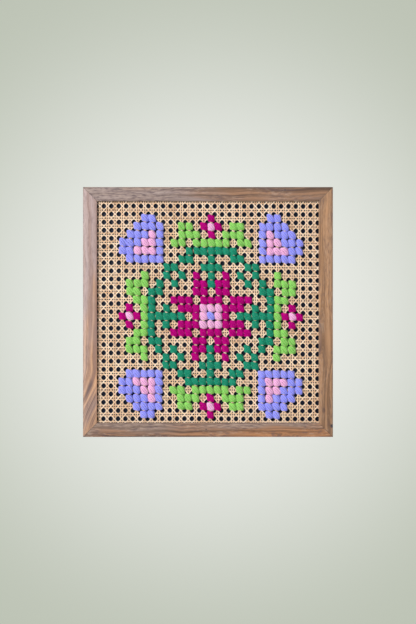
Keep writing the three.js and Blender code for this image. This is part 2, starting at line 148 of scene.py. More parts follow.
# Fittings on the back
SCREW_HEAD = 3.2 * MM  # radius
SCREW_HEAD_HEIGHT = 1.6 * MM
SCREW_HEAD_ROUND = 0.62  # how much of that height is rounded
SCREW_HEAD_TURN = 78  # degrees through which its edge is rounded
SCREW_HEAD_FOOT = 0.96  # how much of its radius rests on what it holds
SCREW_SHANK = 1.5 * MM  # radius
SCREW_POINT = 3 * MM  # length
SCREW_PLAY = 0.25 * MM  # round the shank in its hole
RECESS_WIDTH = 0.85 * MM
RECESS_REACH = 1.75 * MM
RECESS_DEPTH = 1.0 * MM
RECESS_TAPER = 0.45  # how much of its width is left at the bottom
BUTTON_SCREW_TURN = 0.3, 0.9  # how far its recess is turned on the first button, and further on each next
HANGER_SCREW_TURN = {"left": 0.5, "right": 1.3}
BUTTON_SIDES = 40
BUTTON_EDGE = 0.3 * MM
WIRE = 1 * MM  # radius
KNUCKLE_PLAY = 0.25 * MM  # round the wire in its strap
KNUCKLE_END = -75  # degrees, where the strap ends behind the wire
STRAP_THICK = 0.9 * MM
STRAP_CORNER = 2.6 * MM
STRAP_EDGE = 0.18 * MM
STRAP_FOLD = 4 * MM  # from the ring's axis down to where the strap is flat
RING_CORNER = 1.6 * MM
RING_STRAIGHT = 3 * MM
PAD_ROUND = 1.6 * MM
PAD_EDGE = 0.3 * MM
PAD_DISH = 0.45, 0.2 * MM  # where its hollow starts, as a share of the radius, and how deep it is there

# Edges of the wood and of the board
WOOD_EDGE = 0.4 * MM
LONG_EDGE = 300 * MM  # the shortest edge of a rail that is rounded
PAINT_ENDS = -7.2 * MM, -6.9 * MM  # how far back the paint of the board goes
PRESS_MESH = 1.6 * MM

# Round each strand's cell on the OFBake map, as a share of the cell
CELL_MARGIN = 0.02

# Stage
CAMERA_DISTANCE = 2.815  # from the front of the frame
LENS = 100  # of the camera, in millimetres, for a picture that is SENSOR wide
SENSOR = 36
FLOOR_DROP = 1.5
FLOOR_RADIUS = 5
FLOOR_NEAR = 1.2  # from where the floor runs out into the backdrop
FLOOR_FAR = 3.5
EVEN_LIGHT = 0.13
HALO_RISE = 0.035, 0.2135  # where the ring on the backdrop begins and is deepest, as sines of its angle
HALO_FALL = 0.25, 0.6  # and where it goes again
HALO_FRONT = 0.0, 0.2  # it is only seen by a camera that looks this much towards the wall
LAMPS = {  # place, size and power
    "key": ((-3.9, -5.2, 1.5), 0.9, 505),
    "front_fill": ((1.5, -2.6, 0.4), 1.8, 2),
    "back_fill": ((1.2, 2.4, 1.4), 1.6, 95),
    "side_fill": ((3.2, 0.35, 0.6), 1.0, 45),
}


def srgb(red, green, blue):
    """A colour as a picture gives it, from 0 to 255, made linear for a shader."""

    def linear(value):
        share = value / 255
        return share / 12.92 if share <= 0.04045 else ((share + 0.055) / 1.055) ** 2.4

    return (linear(red), linear(green), linear(blue), 1.0)


BACKDROP = srgb(236, 238, 233)
# the painted shade of the ring round the panel on the backdrop
HALO = srgb(190, 196, 182)


@dataclass
class Plank:
    """What sets the wood of one rail apart. Places are along it and across it, from its middle."""

    warm: tuple  # its tones
    cool: tuple
    deep: tuple
    fade: float  # how much cooler it gets along the rail, to a metre: partly a painted sheen, cooler towards the upper left
    lean: float  # and across it, also partly a painted sheen
    swirl: tuple  # the place that its grain bends round, and how far
    dusk: tuple  # painted shade: from where it gets darker, away from the light at the upper left, to where and how much
    flecked: float  # how plainly it is flecked
    seed: float
    knots: tuple = ()  # the place, half length and half width of each, and how dark it is
    run_out: float = 0.0  # how far its grain runs out slantwise at its low end


PLANKS = {
    "top": Plank(
        warm=srgb(159, 120, 92),
        cool=srgb(165, 146, 140),
        deep=srgb(85, 62, 50),
        fade=-1.4,
        lean=-9,
        swirl=(120 * MM, 14 * MM, 8 * MM),
        dusk=(0.0, 170 * MM, 0.07),
        flecked=0.75,
        seed=3.1,
        knots=(
            (-148 * MM, 7.6 * MM, 7 * MM, 3 * MM, 0.5),
            (125 * MM, 6.8 * MM, 2.2 * MM, 1.4 * MM, 0.8),
        ),
    ),
    # the left rail's light lilac tones are partly a painted sheen from the light at the upper left
    "left": Plank(
        warm=srgb(211, 164, 128),
        cool=srgb(181, 159, 156),
        deep=srgb(136, 103, 87),
        fade=1.1,
        lean=-8,
        swirl=(-150 * MM, 1 * MM, 0.0),
        dusk=(-100 * MM, -190 * MM, 0.17),
        flecked=0.3,
        seed=14.5,
        run_out=42 * MM,
    ),
    "bottom": Plank(
        warm=srgb(174, 122, 83),
        cool=srgb(151, 129, 117),
        deep=srgb(80, 54, 38),
        fade=-0.9,
        lean=12,
        swirl=(130 * MM, -16 * MM, 10 * MM),
        dusk=(0.0, 170 * MM, 0.03),
        flecked=0.7,
        seed=26.0,
        knots=((-3 * MM, 1 * MM, 2.2 * MM, 1.3 * MM, 0.8),),
    ),
    "right": Plank(
        warm=srgb(193, 146, 106),
        cool=srgb(172, 134, 104),
        deep=srgb(102, 71, 49),
        fade=0.4,
        lean=0,
        swirl=(-40 * MM, -16 * MM, 14 * MM),
        dusk=(20 * MM, -170 * MM, 0.12),
        flecked=0.45,
        seed=32.1,
        knots=(
            (-185 * MM, 9.5 * MM, 4.5 * MM, 3.2 * MM, 0.95),
            (-160 * MM, -3.3 * MM, 6.5 * MM, 3.6 * MM, 0.45),
        ),
    ),
}


# Materials


class Value:
    """A socket of a node tree. Sums on it add Math nodes."""

    def __init__(self, nodes, socket):
        self.nodes = nodes
        self.socket = socket

    def math(self, operation, first, second=0.0):
        return self.nodes.node("ShaderNodeMath", {"operation": operation}, {0: first, 1: second})

    def __add__(self, other):
        return self.math("ADD", self, other)

    def __sub__(self, other):
        return self.math("SUBTRACT", self, other)

    def __rsub__(self, other):
        return self.math("SUBTRACT", other, self)

    def __mul__(self, other):
        return self.math("MULTIPLY", self, other)

    __radd__ = __add__
    __rmul__ = __mul__

    def sine(self):
        return self.math("SINE", self)

    def root(self):
        return self.math("SQRT", self)

    def size(self):
        return self.math("ABSOLUTE", self)

    def larger(self, other):
        return self.math("MAXIMUM", self, other)

    def between(self, low, high):
        """0 below low, 1 above high and a smooth step between them."""
        inputs = {"Value": self, "From Min": low, "From Max": high}
        return self.nodes.node("ShaderNodeMapRange", {"interpolation_type": "SMOOTHSTEP"}, inputs)

    def output(self, name):
        """Another output of the same node."""
        return Value(self.nodes, self.socket.node.outputs[name])


class Nodes:
    """A node tree. Numbers are set on its sockets, and Values are linked to them."""

    def __init__(self, tree):
        self.tree = tree

    def put(self, socket, value):
        if isinstance(value, Value):
            self.tree.links.new(value.socket, socket)
        else:
            socket.default_value = value

    def node(self, kind, settings=None, inputs=None, output=0):
        made = self.tree.nodes.new(kind)
        for name, value in (settings or {}).items():
            setattr(made, name, value)
        for name, value in (inputs or {}).items():
            self.put(made.inputs[name], value)
        return None if output is None else Value(self, made.outputs[output])

    def mixed(self, share, first, second):
        settings = {"data_type": "RGBA", "clamp_factor": True}
        return self.node("ShaderNodeMix", settings, {0: share, 6: first, 7: second}, output=2)

    def darkened(self, colour, share):
        """The colour times a share that varies over the surface."""
        settings = {"data_type": "RGBA", "blend_type": "MULTIPLY"}
        return self.node("ShaderNodeMix", settings, {0: 1.0, 6: colour, 7: share}, output=2)

    def combined(self, x, y, z=0.0):
        return self.node("ShaderNodeCombineXYZ", {}, {0: x, 1: y, 2: z})

    def noise(self, vector, detail=2.0, roughness=0.5, distortion=0.0):
        inputs = {"Vector": vector, "Scale": 1.0, "Detail": detail}
        inputs |= {"Roughness": roughness, "Distortion": distortion}
        return self.node("ShaderNodeTexNoise", {}, inputs)

    def streaks(self, first, second, to_a_metre, third=0.0, detail=2.0, roughness=0.5):
        """Noise drawn out into streaks, so many to a metre on each of two axes."""
        scaled = self.combined(first * to_a_metre[0], second * to_a_metre[1], third)
        return self.noise(scaled, detail, roughness)


class Finish(Nodes):
    """A material with one Principled shader."""

    def __init__(self, name, **sockets):
        self.material = bpy.data.materials.new(name)
        self.material.use_nodes = True
        super().__init__(self.material.node_tree)
        self.shader = self.tree.nodes["Principled BSDF"]
        self.set(**sockets)

    def set(self, **sockets):
        """Sets the shader's sockets, named in lower case with underscores."""
        for name, value in sockets.items():
            self.put(self.shader.inputs[name.replace("_", " ").title().replace("Ior", "IOR")], value)

    def place(self, scale):
        """The point on the piece, in metres, times a scale for each axis."""
        point = self.node("ShaderNodeTexCoord", output="Object")
        return self.node("ShaderNodeMapping", {}, {"Vector": point, "Scale": scale})

    def axis(self, name, vector=None):
        vector = vector or self.node("ShaderNodeTexCoord", output="Object")
        return self.node("ShaderNodeSeparateXYZ", {}, {0: vector}, output=name)

    def bump(self, height, distance, strength=1.0):
        inputs = {"Height": height, "Distance": distance, "Strength": strength}
        return self.node("ShaderNodeBump", {}, inputs)


def spot(along, across, place, aside, half_length, half_width, core):
    """1 in the core of an oval and 0 outside it."""
    off_along, off_across = (along - place) * (1 / half_length), (across - aside) * (1 / half_width)
    return 1 - (off_along * off_along + off_across * off_across).root().between(core, 1.0)


def walnut(name, axis, middle, plank):
    """Oiled walnut. Its grain strays, arches round a swirl and may run out slantwise at the low end of a
    rail. It has soft bands, fine lines, clusters of short flecks, small knots and open pores. Most of the
    flecks are where its colour is cool. That cool tone is partly the wood's own and partly a painted sheen
    from the light at the upper left. It gets darker towards one end, as painted shade, and its outer edges
    are darkened as painted shade."""
    wood = Finish(name, specular_ior_level=0.35)
    x, y, z = wood.axis("X"), wood.axis("Y"), wood.axis("Z")
    along, across = (x, z - middle) if axis == "X" else (z, x - middle)
    stray = wood.streaks(along, across, STRAYS, plank.seed) - 0.5
    swirl_along, swirl_across, bend = plank.swirl
    eye = spot(along, across, swirl_along, swirl_across, SWIRL_LONG, SWIRL_WIDE, 0.0)
    slant = along.between(-RUN_OUT_FROM, -RUN_OUT_TO) * plank.run_out
    ring = across + y * GRAIN_LEAN + stray * GRAIN_STRAY + eye * bend - slant

    bands = wood.streaks(ring, along, BANDS, plank.seed, 3, 0.55)
    lines = wood.streaks(ring, along, LINES, plank.seed, 3, 0.65)
    zones = wood.streaks(ring, along, ZONES, plank.seed + 5, 3, 0.55)
    clusters = wood.streaks(ring, along, CLUSTERS, plank.seed + 13, 1)
    flecks = wood.streaks(ring, along, FLECKS, plank.seed + 9, 3, 0.6)
    pores = wood.streaks(across, along, PORES, y * PORES[0], 1)

    # the cool tone: the wood's own zones, with a painted sheen from the light at the upper left laid on
    # along and across the rail
    coolness = zones + along * plank.fade + across * plank.lean
    grey = coolness.between(0.3, 0.7)
    grain = (bands * 0.6 + lines * 0.4).between(0.36, 0.62)
    dark_grain = wood.mixed(grey * 0.4, plank.deep, plank.cool)
    colour = wood.mixed(grain, dark_grain, wood.mixed(grey, plank.warm, plank.cool))

    figured = (clusters + coolness * 0.25).between(0.5, 0.68) * plank.flecked
    pale_flecks = (1 - flecks.between(0.36, 0.48)) * figured * 0.4
    colour = wood.mixed(pale_flecks, colour, srgb(196, 176, 160))
    dark_flecks = flecks.between(0.5, 0.64) * figured
    marks = dark_flecks.larger(eye.between(0.1, 0.5) * (1 - grain) * 0.7)
    colour = wood.mixed(marks, colour, srgb(88, 72, 75))
    for place, aside, half_length, half_width, dark in plank.knots:
        knot = spot(along, across + stray * KNOT_STRAY, place, aside, half_length, half_width, 0.3)
        colour = wood.mixed(knot * dark, colour, srgb(46, 40, 52))

    pits = pores.between(0.6, 0.7) * 0.3
    # painted shade: the outer edges of the frame are darkened
    rim = x.size().larger(z.size()).between(*EDGE_SHADE) * 0.3
    mitre = (1 - (x.size() - z.size()).size().between(*MITRE)) * 0.55
    # painted shade: darker towards the end of the rail away from the light at the upper left
    dusk_from, dusk_to, dusk = plank.dusk
    shade = 1 - along.between(dusk_from, dusk_to) * dusk
    wood.set(base_color=wood.darkened(colour, (1 - pits.larger(rim).larger(mitre)) * shade))
    wood.set(roughness=0.5 + pits * 0.5 - lines * 0.08)
    wood.set(normal=wood.bump(lines * 0.4 - pits * 2.0, 0.12 * MM, 0.7))
    return wood.material


def pine():
    wood = Finish("pine", specular_ior_level=0.3)
    rings = wood.noise(wood.place((5, 260, 260)), 3, 0.6, 0.4)
    wood.set(base_color=wood.mixed(rings.between(0.35, 0.65), srgb(176, 134, 88), srgb(218, 186, 140)))
    wood.set(roughness=0.62 + rings * 0.2, normal=wood.bump(rings, 0.1 * MM))
    return wood.material


def cane(name, across, along, deep, pale):
    """Split cane: a glossy skin with fine lines along it, a tone for each strand, and joints."""
    skin = Finish(name, specular_ior_level=0.6)
    x, z = skin.axis("X"), skin.axis("Z")
    wide, long = x * across[0] + z * across[1], x * along[0] + z * along[1]
    tone = skin.streaks(wide, long, CANE_TONES, detail=2, roughness=0.6)
    lines = skin.streaks(wide, long, CANE_LINES, detail=2, roughness=0.6)
    joints = skin.streaks(wide, long, CANE_JOINTS, detail=0).between(0.7, 0.78)
    colour = skin.mixed(tone.between(0.36, 0.64), deep, pale)
    shade = 1 - lines.between(0.35, 0.75) * 0.14
    skin.set(base_color=skin.darkened(colour, shade - joints * 0.25))
    skin.set(roughness=0.3 + lines * 0.22, normal=skin.bump(lines, 0.05 * MM, 0.6))
    return skin.material


def yarn(name, colour, shade):
    """Soft plied yarn: its plies wind round each strand and its fibres catch light. Its colour is mixed with
    a darker copy of it, painted shade between the plies among random tone, and its sides are darkened as
    painted shade between strands.
    """
    wool = Finish(name, roughness=0.92, specular_ior_level=0.12)
    wool.set(sheen_weight=0.25, sheen_roughness=0.45, sheen_tint=colour)
    along_around = wool.node("ShaderNodeUVMap", {"uv_map": "UVMap"})
    along, around = wool.axis("X", along_around), wool.axis("Y", along_around)
    plies = (around * (PLIES * math.tau) + along * (PLY_TURNS * math.tau)).sine() * 0.5 + 0.5
    fibres = wool.noise(wool.combined(around * 26 + along * 30, along * 9), 2, 0.6)
    cloud = wool.noise(wool.place((190, 190, 190)), 2)
    # how far the colour goes to its darker copy: painted shade between the plies, and random tone from
    # fibres and cloud
    light = plies * 0.35 + fibres * 0.4 + cloud * 0.5
    crest = (around * math.tau + math.tau / 6).sine()  # 1 on top of the strand and 0 at its sides, which are darkened as painted shade between strands
    tone = wool.mixed(light.between(0.2, 0.85), shade, colour)
    wool.set(base_color=wool.darkened(tone, 0.32 + crest.between(-0.1, 0.75) * 0.68))
    wool.set(normal=wool.bump(plies * 0.7 + fibres * 0.5, 0.22 * MM, 0.8))
    return wool.material


def backing():
    """Hardboard: painted a dark blue on the front, with the mesh of its press on the bare back."""
    board = Finish("board", specular_ior_level=0.1)
    bare = board.axis("Y").between(*PAINT_ENDS)
    mottle = board.noise(board.place((60, 60, 60)), 5, 0.65)
    specks = board.noise(board.place((650, 650, 650)), 2, 0.6)
    paint = board.mixed(mottle, srgb(22, 28, 44), srgb(28, 35, 53))
    flecks = (mottle * 0.35 + specks * 0.65).between(0.2, 0.8)
    fibre = board.mixed(flecks, srgb(126, 91, 63), srgb(166, 128, 93))
    board.set(base_color=board.mixed(bare, paint, fibre), roughness=0.45 + bare * 0.35)
    mesh_x = (board.axis("X") * (math.tau / PRESS_MESH)).sine()
    mesh_z = (board.axis("Z") * (math.tau / PRESS_MESH)).sine()
    press = mesh_x * mesh_z * 0.5 * bare
    board.set(normal=board.bump(press + specks * bare * 0.5, 0.12 * MM, 0.7))
    return board.material


def metal(name, bright, dull, roughness):
    """Plated metal with fine scratches and a duller bloom in places."""
    plate = Finish(name, metallic=1.0)
    bloom = plate.noise(plate.place((160, 160, 160)), 4, 0.65)
    scratches = plate.noise(plate.place((2600, 420, 300)), 3, 0.7)
    plate.set(base_color=plate.mixed(bloom.between(0.35, 0.7), bright, dull))
    plate.set(roughness=roughness + bloom * 0.12 + scratches * 0.12)
    plate.set(normal=plate.bump(scratches, 0.02 * MM, 0.5))
    return plate.material


def rubber():
    pad = Finish("rubber", specular_ior_level=0.3)
    grain = pad.noise(pad.place((1400, 1400, 1400)), 2, 0.6)
    dust = pad.noise(pad.place((240, 240, 240)), 3, 0.6)
    pad.set(base_color=pad.mixed(dust.between(0.45, 0.75), srgb(44, 45, 47), srgb(84, 85, 86)))
    pad.set(roughness=0.72 + grain * 0.2, normal=pad.bump(grain, 0.06 * MM))
    return pad.material


# Shapes


def piece(name, mesh, finish, body, slot, *nodes):
    """Puts a finished mesh in the scene, on its body and in place of its CAD nodes."""
    mesh.name = name
    mesh.materials.clear()
    mesh.materials.append(finish)
    obj = bpy.data.objects.new(name, mesh)
    bpy.context.scene.collection.objects.link(obj)
    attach(obj, body)
    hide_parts(*nodes)


def mesh_from(bm, smooth_below=40):
    """A mesh of a bmesh, smooth where its faces meet at a small angle."""
    mesh = bpy.data.meshes.new("piece")
    bm.to_mesh(mesh)
    bm.free()
    mesh.shade_smooth()
    mesh.set_sharp_from_angle(angle=math.radians(smooth_below))
    return mesh


def evaluated(obj):
    """The mesh of an object with its modifiers or bevel. The object is deleted."""
    bpy.context.scene.collection.objects.link(obj)
    mesh = bpy.data.meshes.new_from_object(obj.evaluated_get(bpy.context.evaluated_depsgraph_get()))
    bpy.data.objects.remove(obj)
    return mesh


def recalculate(bm):
    bmesh.ops.remove_doubles(bm, verts=bm.verts, dist=WELD)
    bmesh.ops.recalc_face_normals(bm, faces=bm.faces)


def soften(bm, edges, width, segments=3):
    settings = {"offset_type": "OFFSET", "affect": "EDGES", "profile": 0.5, "material": -1}
    bmesh.ops.bevel(bm, geom=edges, offset=width, segments=segments, **settings)


def sharp_edges(bm, least=20):
    return [edge for edge in bm.edges if edge.calc_face_angle(0) > math.radians(least)]


def copied(node):
    """A CAD node's mesh with its triangles merged."""
    bm = bmesh.new()
    bm.from_mesh(frame["nodes"][node].data)
    bmesh.ops.remove_doubles(bm, verts=bm.verts, dist=CAD_WELD)
    bmesh.ops.dissolve_limit(bm, angle_limit=math.radians(1), verts=bm.verts, edges=bm.edges)
    return bm


def eased(bm, width, shortest=0.0):
    """The mesh with its sharp edges, from a length upwards, rounded."""
    soften(bm, [edge for edge in sharp_edges(bm) if edge.calc_length() >= shortest], width)
    return mesh_from(bm, 30)


def strand_curve(paths):
    """A curve with a spline for each path of (x, y, z, thickness) points."""
    curve = bpy.data.curves.new("strands", "CURVE")
    curve.dimensions = "3D"
    curve.twist_mode = "Z_UP"
    for path in paths:
        spline = curve.splines.new("POLY")
        spline.points.add(len(path) - 1)
        spline.points.foreach_set("co", [number for x, y, z, _ in path for number in (x, y, z, 1.0)])
        spline.points.foreach_set("radius", [thickness for *_, thickness in path])
    return curve


def strand_mesh(curve, counts, columns, place):
    """The curve's strands as one mesh, each with a cell of its own on a second UV map, OFBake."""
    mesh = evaluated(bpy.data.objects.new("strands", curve))
    mesh.transform(place)
    bm = bmesh.new()
    bm.from_mesh(mesh)
    bmesh.ops.holes_fill(bm, edges=[edge for edge in bm.edges if edge.is_boundary])
    bm.to_mesh(mesh)
    bm.free()
    mesh.shade_smooth()
    rows = math.ceil(len(counts) / columns)
    sides = len(mesh.vertices) // sum(counts)
    strand_of_vertex = np.repeat(np.arange(len(counts)), np.array(counts) * sides)
    corners = np.empty(len(mesh.loops), np.int32)
    mesh.loops.foreach_get("vertex_index", corners)
    strand = strand_of_vertex[corners]
    along_around = np.empty(2 * len(corners), np.float32)
    mesh.uv_layers["UVMap"].uv.foreach_get("vector", along_around)
    inside_cell = along_around.reshape(-1, 2) * (1 - 2 * CELL_MARGIN) + CELL_MARGIN
    cells = np.stack([strand % columns, strand // columns], 1) + inside_cell
    cells = (cells / (columns, rows)).astype(np.float32)
    mesh.uv_layers.new(name="OFBake").uv.foreach_set("vector", cells.ravel())
    return mesh


# The frame


def rail_mesh(node, axis):
    """The CAD rail with its long edges rounded, drawn out along its axis until its mitres close."""
    bm = copied(node)
    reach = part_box("rail_right")[1].x
    number = "XYZ".index(axis)
    longer = Vector((1, 1, 1))
    longer[number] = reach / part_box(node)[1][number]
    bmesh.ops.scale(bm, vec=longer, verts=bm.verts)
    return eased(bm, WOOD_EDGE, LONG_EDGE)


def frame_rails():
    for side, plank in PLANKS.items():
        node = f"rail_{side}"
        axis = "X" if side in ("top", "bottom") else "Z"
        low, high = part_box(node)
        middle = (low.z + high.z) / 2 if axis == "X" else (low.x + high.x) / 2
        finish = walnut(f"walnut_{side}", axis, middle, plank)
        piece(f"walnut_{node}", rail_mesh(node, axis), finish, "panel", "frame_wood", node)


def inside_the_rebate():
    wood = pine()
    for side in SIDES:
        mesh = eased(copied(f"slip_{side}"), WOOD_EDGE)
        piece(f"pine_slip_{side}", mesh, wood, "panel", "slip_wood", f"slip_{side}")
    board = eased(copied("backing_board"), WOOD_EDGE)
    piece("hardboard_back", board, backing(), "panel", "board", "backing_board")


# The cane


def wandered(x, z):
    """Where a point of a straight web lies on this one, whose rows and columns stray inside its edges."""
    right = math.sin(9 * z + 0.5) + RIPPLE * math.sin(27 * z + 11 * x)
    up = math.sin(8.5 * x + 2.6) + RIPPLE * math.sin(24 * x - 13 * z)
    return x + WANDER * right * (1 - (x / WEB_HALF) ** 4), z + WANDER * up * (1 - (z / WEB_HALF) ** 4)


def over_and_under(offset, pair):
    """The bend of a strand that goes over one strand of a pair and under the other."""
    wave = 4 * pair
    if abs(offset) > wave / 2:
        return 0.0
    return -PAIR_WAVE * math.sin(math.tau * offset / wave) * math.cos(math.pi * offset / wave)


def from_nearest(value, middle, pitch):
    """How far a value lies from the nearest of the lines that repeat at a pitch."""
    return (value - middle + pitch / 2) % pitch - pitch / 2


def pair_lines(middle, pitch, apart):
    """Where the strands of all pairs run, with 1 for the first of a pair and -1 for the second."""
    reach = math.ceil(WEB_HALF / pitch) + 1
    pairs = [middle + n * pitch for n in range(-reach, reach + 1)]
    lines = [(pair - sign * apart, sign) for pair in pairs for sign in (1, -1)]
    return [(line, sign) for line, sign in lines if abs(line) < WEB_HALF - CANE_WIDTH / 2]


def steps_between(start, end, step):
    count = max(2, round((end - start) / step))
    return [start + (end - start) * n / count for n in range(count + 1)]


def upright_strands():
    strands = []
    heights = steps_between(-WEB_HALF, WEB_HALF, PITCH_Z / PAIR_STEPS)
    bends = [over_and_under(from_nearest(z, MIDDLE_Z, PITCH_Z), PAIR_Z) for z in heights]
    for x, sign in pair_lines(MIDDLE_X, PITCH_X, PAIR_X):
        strands.append([(*wandered(x, z), sign * bend, 1.0) for z, bend in zip(heights, bends)])
    return strands


def level_strands():
    strands = []
    places = steps_between(-WEB_HALF, WEB_HALF, PITCH_X / PAIR_STEPS)
    bends = [over_and_under(from_nearest(x, MIDDLE_X, PITCH_X), PAIR_X) for x in places]
    for z, sign in pair_lines(MIDDLE_Z, PITCH_Z, PAIR_Z):
        strands.append([(*wandered(x, z), -sign * bend, 1.0) for x, bend in zip(places, bends)])
    return strands


def slanting_strands(slant):
    """Strands that rise to the right with slant 1 and fall with slant -1, from edge to edge of the web.
    Falling strands go over the upright pairs and under the level ones, and rising strands the other way."""
    strands = []
    grade = slant * PITCH_Z / PITCH_X
    reach = math.ceil(WEB_HALF / PITCH_X) + math.ceil(WEB_HALF / PITCH_Z) + 2
    for n in range(-reach, reach + 1):
        at_middle = MIDDLE_Z + (n + 0.5) * PITCH_Z  # its height at the pattern's middle line
        ends = sorted(MIDDLE_X + (edge - at_middle) / grade for edge in (-WEB_HALF, WEB_HALF))
        start, end = max(ends[0], -WEB_HALF), min(ends[1], WEB_HALF)
        if end - start < 2 * PITCH_X / SLANT_STEPS:
            continue
        strand = []
        for x in steps_between(start, end, PITCH_X / SLANT_STEPS):
            beat = math.cos(math.tau * (x - MIDDLE_X) / PITCH_X)
            bend = SLANT_LIFT - slant * SLANT_WAVE * math.tanh(SLANT_SNAP * beat) / math.tanh(SLANT_SNAP)
            strand.append((*wandered(x, at_middle + grade * (x - MIDDLE_X)), bend, SLANT_SIZE))
        strands.append(strand)
    return strands


def cane_profile():
    """The section of a strand: six-sided, with two flat faces and thin edges."""
    wide, thick = CANE_WIDTH / 2, CANE_THICK / 2
    upper, lower = (wide * flat for flat in CANE_FLATS)
    points = [(wide, 0), (upper, thick), (-upper, thick), (-wide, 0), (-lower, -thick), (lower, -thick)]
    curve = bpy.data.curves.new("cane_section", "CURVE")
    curve.dimensions = "2D"
    spline = curve.splines.new("POLY")
    spline.points.add(len(points) - 1)
    spline.points.foreach_set("co", [number for x, y in points for number in (x, y, 0.0, 1.0)])
    spline.use_cyclic_u = True
    return bpy.data.objects.new("cane_section", curve)


def sheet_at(y):
    """Turns a drawing of a sheet, with z towards the viewer, to its place in the panel."""
    return Matrix.Translation((0, y, 0)) @ Matrix.Rotation(math.pi / 2, 4, "X")


def cane_web():
    section = cane_profile()
    run = Vector((PITCH_X, PITCH_Z)).normalized()
    # the upright and level pairs get darker tones than the slants that lie over them: painted shade
    under = srgb(210, 167, 128), srgb(252, 222, 190)
    over = srgb(224, 182, 143), srgb(255, 233, 209)
    sets = {
        "uprights": (upright_strands(), (1, 0), (0, 1), under),
        "levels": (level_strands(), (0, 1), (1, 0), under),
        "rising": (slanting_strands(1), (-run.y, run.x), (run.x, run.y), over),
        "falling": (slanting_strands(-1), (run.y, run.x), (run.x, -run.y), over),
    }
    for name, (paths, across, along, tones) in sets.items():
        curve = strand_curve(paths)
        curve.bevel_mode = "OBJECT"
        curve.bevel_object = section
        mesh = strand_mesh(curve, [len(path) for path in paths], 1, sheet_at(WEB_MIDDLE))
        skin = cane(f"cane_{name}", across, along, *tones)
        piece(f"cane_{name}", mesh, skin, "panel", "cane", "cane_web")
    bpy.data.objects.remove(section)


# The embroidery


def quarter_turns(cells):
    """The cells at the top, and then turned to the left, the bottom and the right."""
    turns = [cells]
    while len(turns) < len(SIDES):
        turns.append([(-v, u) for u, v in turns[-1]])
    return turns


def left_and_right(eighth):
    return [cell for u, v in eighth for cell in ((u, v), (-u, v))]


def across_diagonal(eighth):
    return [cell for u, v in eighth for cell in ((u, v), (v, u))]


def distinct(cells):
    """Each cell once, in the order in which they are worked: by rows from the top."""
    return sorted(set(cells), key=lambda cell: (-cell[1], cell[0]))


def whole_run(name, eighth, colour):
    turns = quarter_turns(left_and_right(eighth))
    return [(name, distinct(cell for turn in turns for cell in turn), colour)]


def side_runs(name, eighth, colour):
    turns = quarter_turns(left_and_right(eighth))
    return [(f"{name}_{side}", distinct(turn), colour) for side, turn in zip(SIDES, turns)]


def corner_runs(name, eighth, colour):
    turns = quarter_turns(across_diagonal(eighth))
    return [(f"{name}_{corner}", distinct(turn), colour) for corner, turn in zip(CORNERS, turns)]


def leg_height(share, top):
    """The height of a leg's middle line at a share of the way from its middle to its tip."""
    over = (TOP_HEIGHT - LOW_HEIGHT) * (1 - share**TOP_FALL) if top else 0.0
    late, steep = LEG_DIVE
    return -LEG_DEPTH + (LOW_HEIGHT + over + LEG_DEPTH) * (1 - share**late) ** steep


def stitch_leg(rng, middle, slant, top, turn):
    """The strands of one leg, from hole to hole. They spread over the cane and draw together at its tips."""
    run = Vector((PITCH_X, slant * PITCH_Z)) / 2
    reach = run.length - rng.uniform(*TIP_SHORT) + (TOP_LONGER if top else 0.0)
    run = Matrix.Rotation(turn, 2) @ run.normalized()
    side = Vector((-run.y, run.x))
    drift = rng.uniform(-UNEVEN, UNEVEN)
    full_spacing = LEG_SPACING * rng.uniform(*LEG_FULLNESS)
    strands = []
    for n in range(STRANDS):
        rank = n - (STRANDS - 1) / 2
        sideways, lift, sway = (rng.uniform(-UNEVEN, UNEVEN) for _ in range(3))
        strand = []
        for k in range(STRAND_POINTS):
            way = math.sin((2 * k / (STRAND_POINTS - 1) - 1) * math.pi / 2)  # from tip to tip, -1 to 1
            share = abs(way)
            spread = 1 - share**TIP_TAPER
            spacing = TIP_SPACING + (full_spacing - TIP_SPACING) * spread
            off = rank * spacing + (sideways + sway * math.sin(way * math.pi)) * spread + drift
            height = leg_height(share, top) + (lift - LEG_CROWN * (abs(rank) - 0.5)) * spread
            place = wandered(*(middle + run * (way * reach) + side * off))
            strand.append((*place, height, 1 - TIP_THIN * share**2))
        strands.append(strand)
    return strands


def cross_stitch(rng, u, v):
    """A leg that rises to the right and, over it, one that falls."""
    nudge = Vector([rng.uniform(-STITCH_NUDGE, STITCH_NUDGE) for _ in range(2)])
    middle = Vector((MIDDLE_X + u * PITCH_X, MIDDLE_Z + v * PITCH_Z)) + nudge
    low_turn, top_turn = (rng.uniform(-STITCH_TURN, STITCH_TURN) for _ in range(2))
    rising = stitch_leg(rng, middle, 1, False, low_turn)
    return rising + stitch_leg(rng, middle, -1, True, top_turn)


